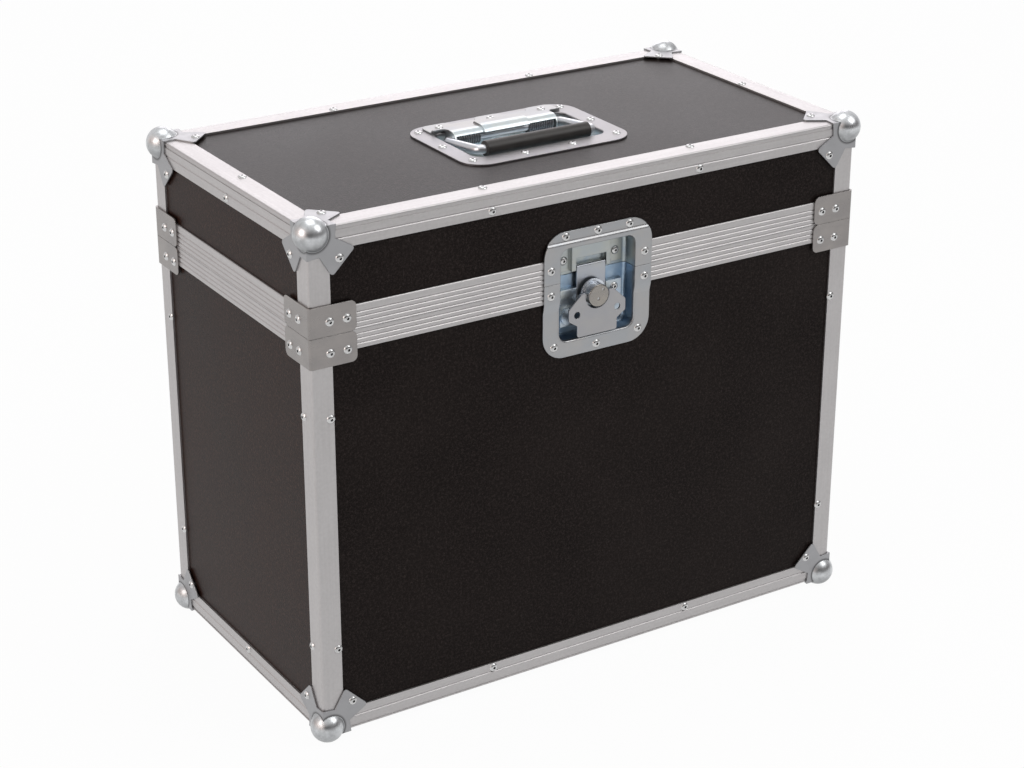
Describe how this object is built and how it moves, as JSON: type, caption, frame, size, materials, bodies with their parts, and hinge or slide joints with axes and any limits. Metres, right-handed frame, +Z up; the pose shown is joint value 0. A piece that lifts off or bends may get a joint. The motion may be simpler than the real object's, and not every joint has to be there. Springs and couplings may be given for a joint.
{
  "type": "lighting flight case",
  "caption": "Upright flight case with aluminium edges, ball corners, a hinged lid, a recessed butterfly latch and a sprung carrying handle.",
  "frame": {"origin": "centre of the case on the surface it stands on, midway between the outer faces of the aluminium; the hinge knuckles at the back shift the bounding box a little", "axes": "+X along the front to the right, +Y from the front to the back, +Z up"},
  "size_m": [0.5572, 0.3057, 0.4693],
  "materials": {
    "board": "fine hexagonal relief, satin film",
    "aluminium": "satin anodised",
    "corner_steel": "bright zinc plate",
    "brace": "zinc plate",
    "latch_steel": "zinc plate",
    "knob": "zinc plate",
    "dish_steel": "zinc plate",
    "handle_steel": "zinc plate",
    "hinge": "zinc plate",
    "rivet": "plain",
    "grip": "matt",
    "foam": "open-cell foam"
  },
  "bodies": {
    "case_body": {"body_back_closing_rail": "aluminium", "body_back_panel": "board", "body_ball_corners": "corner_steel", "body_bottom_back_profile": "aluminium", "body_bottom_front_profile": "aluminium", "body_bottom_left_profile": "aluminium", "body_bottom_panel": "board", "body_bottom_right_profile": "aluminium", "body_corner_angles": "aluminium", "body_corner_braces": "brace", "body_front_closing_rail": "aluminium", "body_front_panel": "board", "body_left_closing_rail": "aluminium", "body_left_panel": "board", "body_right_closing_rail": "aluminium", "body_right_panel": "board", "body_rivets": "rivet", "foam_back_lining": "foam", "foam_base_pad": "foam", "foam_front_lining": "foam", "foam_left_lining": "foam", "foam_right_lining": "foam", "hinge_left_body_leaf": "hinge", "hinge_pins": "hinge", "hinge_right_body_leaf": "hinge", "latch_base_plate": "latch_steel", "latch_lower_dish": "latch_steel"},
    "lid": {"lid_back_closing_rail": "aluminium", "lid_back_panel": "board", "lid_ball_corners": "corner_steel", "lid_corner_angles": "aluminium", "lid_corner_braces": "brace", "lid_front_closing_rail": "aluminium", "lid_front_panel": "board", "lid_left_closing_rail": "aluminium", "lid_left_panel": "board", "lid_right_closing_rail": "aluminium", "lid_right_panel": "board", "lid_rivets": "rivet", "lid_top_back_profile": "aluminium", "lid_top_front_profile": "aluminium", "lid_top_left_profile": "aluminium", "lid_top_panel": "board", "lid_top_right_profile": "aluminium", "latch_upper_dish": "latch_steel", "latch_catch_plate": "latch_steel", "hinge_left_lid_leaf": "hinge", "hinge_right_lid_leaf": "hinge", "foam_lid_pad": "foam", "handle_dish": "dish_steel", "handle_bracket": "dish_steel", "handle_left_spring": "handle_steel", "handle_right_spring": "handle_steel"},
    "handle": {"handle_bail": "handle_steel", "handle_grip": "grip"},
    "latch_rotor": {"latch_knob": "knob", "latch_cam": "latch_steel", "latch_wing_pin": "latch_steel"},
    "latch_wing": {"latch_wing": "latch_steel"},
    "latch_hook": {"latch_hook": "latch_steel"}
  },
  "joints": [
    {"name": "lid_hinge", "type": "hinge", "parent": "case_body", "child": "lid", "pos_m": [0, 0.1467, 0.3697], "axis": [-1, 0, 0], "range_deg": [0, 100]},
    {"name": "handle_swing", "type": "hinge", "parent": "lid", "child": "handle", "pos_m": [0, 0.008, 0.4548], "axis": [-1, 0, 0], "range_deg": [0, 90], "stiffness_Nm_per_rad": 0.25, "springref_deg": -28.65, "deforming": ["handle_left_spring", "handle_right_spring"]},
    {"name": "latch_turn", "type": "hinge", "parent": "case_body", "child": "latch_rotor", "pos_m": [0, -0.1425, 0.3518], "axis": [0, -1, 0], "range_deg": [0, 180]},
    {"name": "latch_wing_lift", "type": "hinge", "parent": "latch_rotor", "child": "latch_wing", "pos_m": [0, -0.1399, 0.3518], "axis": [-1, 0, 0], "range_deg": [0, 90]},
    {"name": "latch_hook_slide", "type": "slide", "parent": "case_body", "child": "latch_hook", "axis": [0, -0.3162, 0.9487], "range_m": [0, 0.00632]}
  ],
  "couplings": [
    {"joint": "latch_wing_lift", "follows": "latch_hook_slide", "rad_per_m": 248.5},
    {"joint": "latch_turn", "follows": "latch_hook_slide", "rad_per_m": 497}
  ]
}
